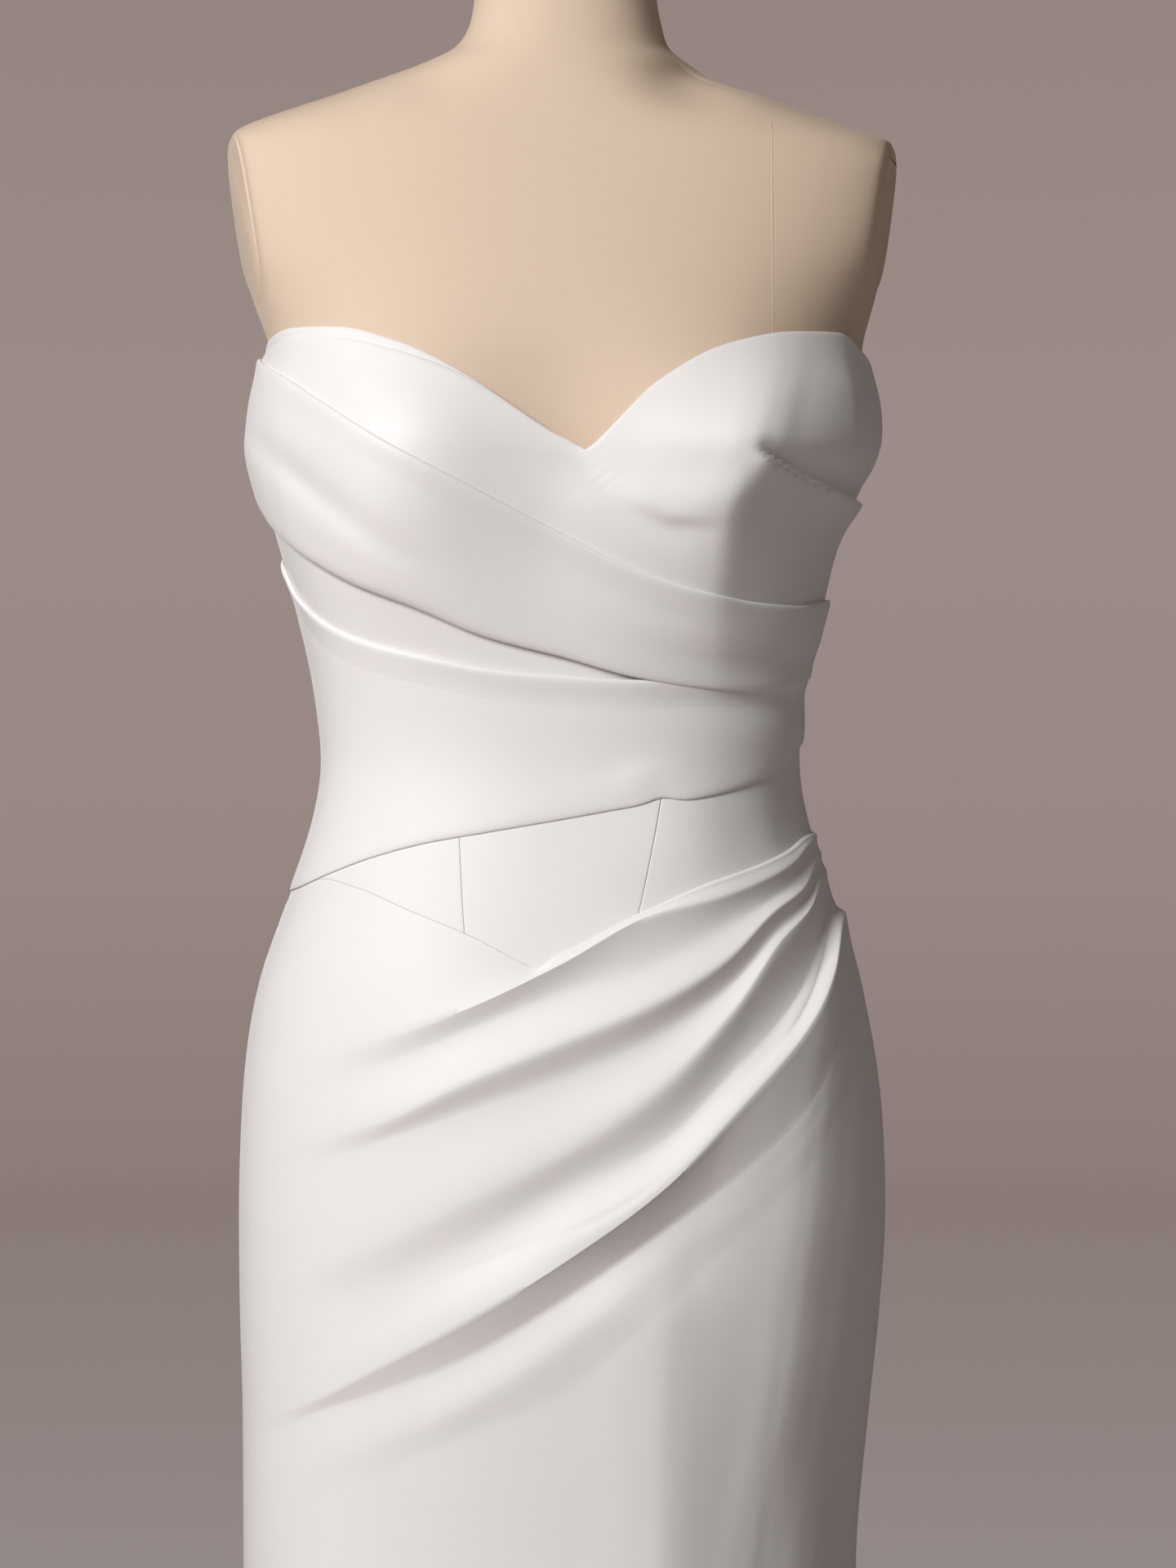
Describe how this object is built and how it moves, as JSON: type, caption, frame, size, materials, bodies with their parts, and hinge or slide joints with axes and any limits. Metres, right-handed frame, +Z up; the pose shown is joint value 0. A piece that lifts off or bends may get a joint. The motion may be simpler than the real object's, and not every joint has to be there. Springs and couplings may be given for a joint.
{
  "type": "wedding dress on dress form",
  "caption": "Strapless sweetheart gown in ivory satin with swathed bodice, V basque and side-gathered skirt, on a limbless dress form and round stand.",
  "frame": {"origin": "centre of the round base plate's underside, on the floor", "axes": "+Z up, -Y is the dress's front, +X is the wearer's left"},
  "size_m": [0.5379, 0.4418, 1.5593],
  "materials": {
    "ivory_satin": "matt-faced crepe satin, soft low sheen",
    "beige_jersey": "fine knit jersey stretched over the form",
    "brushed_steel": "brushed along the turn",
    "zip_nickel": "polished nickel"
  },
  "bodies": {
    "dress_on_form": {"basque_centre": "ivory_satin", "basque_side_left": "ivory_satin", "basque_side_right": "ivory_satin", "bodice_back_left": "ivory_satin", "bodice_back_right": "ivory_satin", "bodice_cup_right": "ivory_satin", "bust_drape": "ivory_satin", "skirt_back_left": "ivory_satin", "skirt_back_right": "ivory_satin", "skirt_front_drape": "ivory_satin", "swathe_bust": "ivory_satin", "swathe_under": "ivory_satin", "swathe_waist": "ivory_satin", "form_torso": "beige_jersey", "form_arm_plate_left": "beige_jersey", "form_arm_plate_right": "beige_jersey", "form_neck_cap": "beige_jersey", "stand_base": "brushed_steel", "stand_flange": "brushed_steel", "stand_pole": "brushed_steel", "zip_slider": "zip_nickel", "stand_socket": "brushed_steel"},
    "zip_tab": {"zip_pull": "zip_nickel"}
  },
  "joints": [
    {"name": "zip_pull_swing", "type": "hinge", "parent": "dress_on_form", "child": "zip_tab", "pos_m": [0, 0.10955, 1.241], "axis": [1, 0, 0], "range_deg": [0, 160]}
  ]
}
